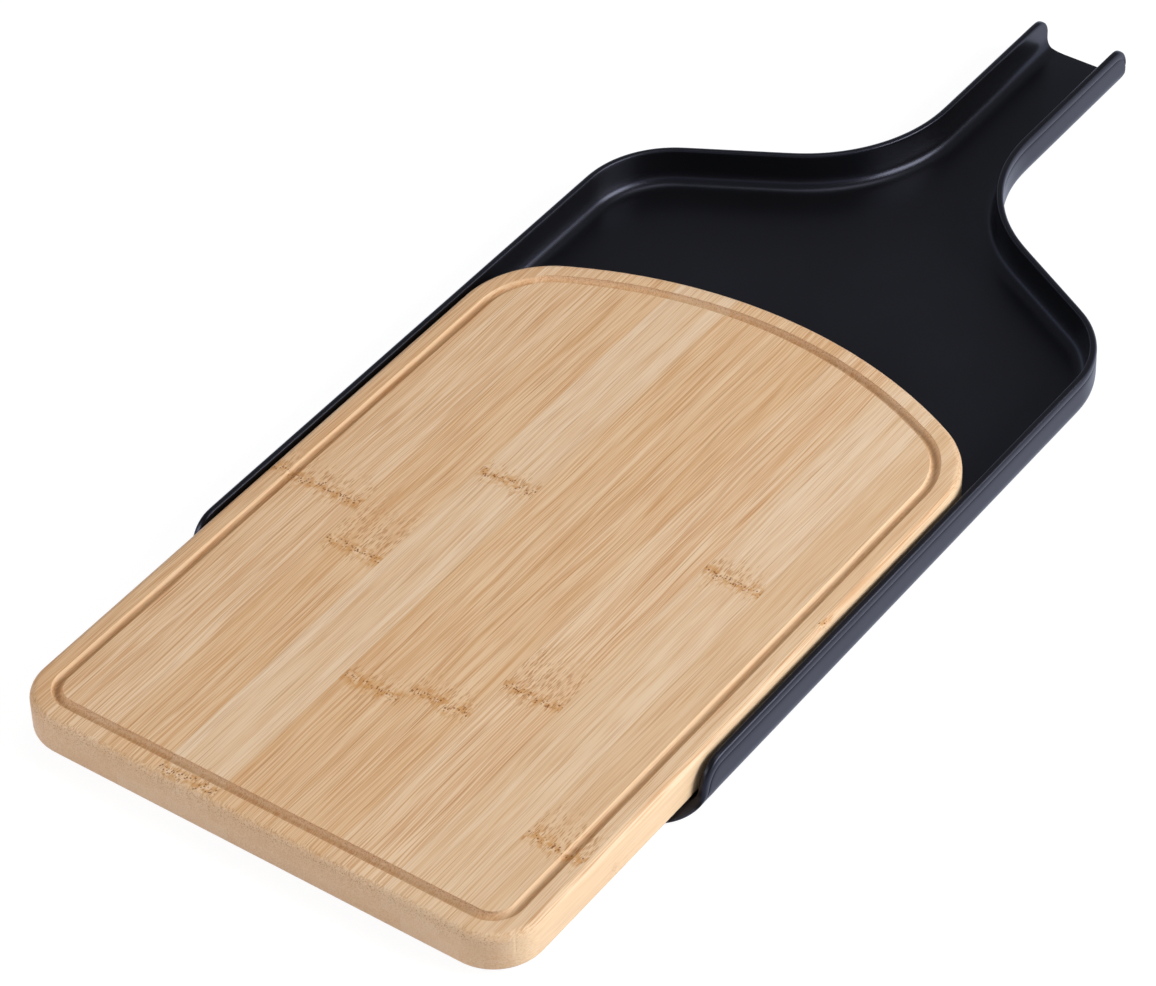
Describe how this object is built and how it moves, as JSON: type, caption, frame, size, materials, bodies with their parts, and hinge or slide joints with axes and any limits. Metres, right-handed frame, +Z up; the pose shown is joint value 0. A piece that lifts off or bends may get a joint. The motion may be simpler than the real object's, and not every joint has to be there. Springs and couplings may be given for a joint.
{
  "type": "cutting board with sliding tray",
  "caption": "Bamboo cutting board with a juice groove that slides like a drawer in a black paddle-shaped tray, whose hollow handle serves as a pouring chute.",
  "frame": {"origin": "on the tray's flat underside, on its centre line, halfway along the tray", "axes": "+Y along the tray towards the handle, -Y out of the open front, +Z up from the table"},
  "size_m": [0.226, 0.5465, 0.0195],
  "materials": {
    "tray_plastic": "matte moulded plastic with a soft sheen",
    "bamboo_pale": "fine-sanded pale bamboo, lightly oiled",
    "bamboo_mid": "fine-sanded bamboo, lightly oiled",
    "bamboo_deep": "fine-sanded darker bamboo, lightly oiled"
  },
  "bodies": {
    "tray": {"tray": "tray_plastic"},
    "board": {"upper_strip_01": "bamboo_mid", "upper_strip_02": "bamboo_mid", "upper_strip_03": "bamboo_deep", "upper_strip_04": "bamboo_pale", "upper_strip_05": "bamboo_deep", "upper_strip_06": "bamboo_deep", "upper_strip_07": "bamboo_mid", "upper_strip_08": "bamboo_pale", "upper_strip_09": "bamboo_pale", "upper_strip_10": "bamboo_mid", "lower_strip_01": "bamboo_mid", "lower_strip_02": "bamboo_deep", "lower_strip_03": "bamboo_pale", "lower_strip_04": "bamboo_pale", "lower_strip_05": "bamboo_mid", "lower_strip_06": "bamboo_mid", "lower_strip_07": "bamboo_deep", "lower_strip_08": "bamboo_pale", "lower_strip_09": "bamboo_mid"}
  },
  "joints": [
    {"name": "board_slide", "type": "slide", "parent": "tray", "child": "board", "axis": [0, -1, 0], "range_m": [-0.0848, 0.16]}
  ]
}
